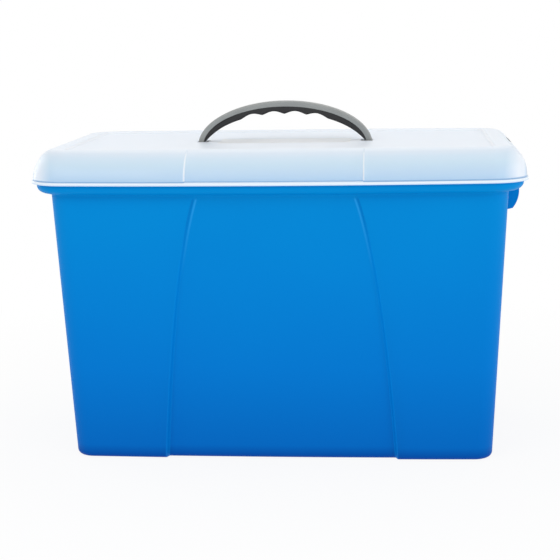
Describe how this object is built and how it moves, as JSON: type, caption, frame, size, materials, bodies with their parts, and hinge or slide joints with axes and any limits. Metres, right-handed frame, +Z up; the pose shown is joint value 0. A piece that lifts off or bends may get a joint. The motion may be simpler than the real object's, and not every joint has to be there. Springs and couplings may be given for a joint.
{
  "type": "portable file box",
  "caption": "Tapered plastic box for hanging folders, with a frosted lid, an arched handle that tilts and a latch at each end.",
  "frame": {"origin": "centre of the tub's underside, on the surface the box stands on", "axes": "+X along the length, -Y to the front, +Z up"},
  "size_m": [0.4662, 0.293, 0.3376],
  "materials": {
    "tub": "blue polypropylene, satin",
    "lid": "frosted translucent polypropylene",
    "handle": "grey, fine texture",
    "grip": "soft black, matt",
    "latch": "frosted translucent polypropylene",
    "pin": "bright steel",
    "rail": "blue polypropylene"
  },
  "bodies": {
    "tub": {"tub": "tub", "left_end_grip": "tub", "right_end_grip": "tub", "left_file_rail": "rail", "right_file_rail": "rail"},
    "lid": {"lid": "lid", "left_handle_pin": "pin", "right_handle_pin": "pin", "left_latch_pin": "pin", "right_latch_pin": "pin"},
    "handle": {"handle": "handle", "handle_grip": "grip"},
    "left_latch": {"left_latch": "latch"},
    "right_latch": {"right_latch": "latch"}
  },
  "joints": [
    {"name": "lid_lift", "type": "slide", "parent": "tub", "child": "lid", "axis": [0, 0, 1], "range_m": [0, 0.15]},
    {"name": "handle_tilt", "type": "hinge", "parent": "lid", "child": "handle", "pos_m": [0, 0, 0.293], "axis": [1, 0, 0], "range_deg": [-25, 25]},
    {"name": "left_latch_swing", "type": "hinge", "parent": "lid", "child": "left_latch", "pos_m": [-0.224, 0, 0.289], "axis": [0, 1, 0], "range_deg": [0, 75]},
    {"name": "right_latch_swing", "type": "hinge", "parent": "lid", "child": "right_latch", "pos_m": [0.224, 0, 0.289], "axis": [0, -1, 0], "range_deg": [0, 75]}
  ]
}
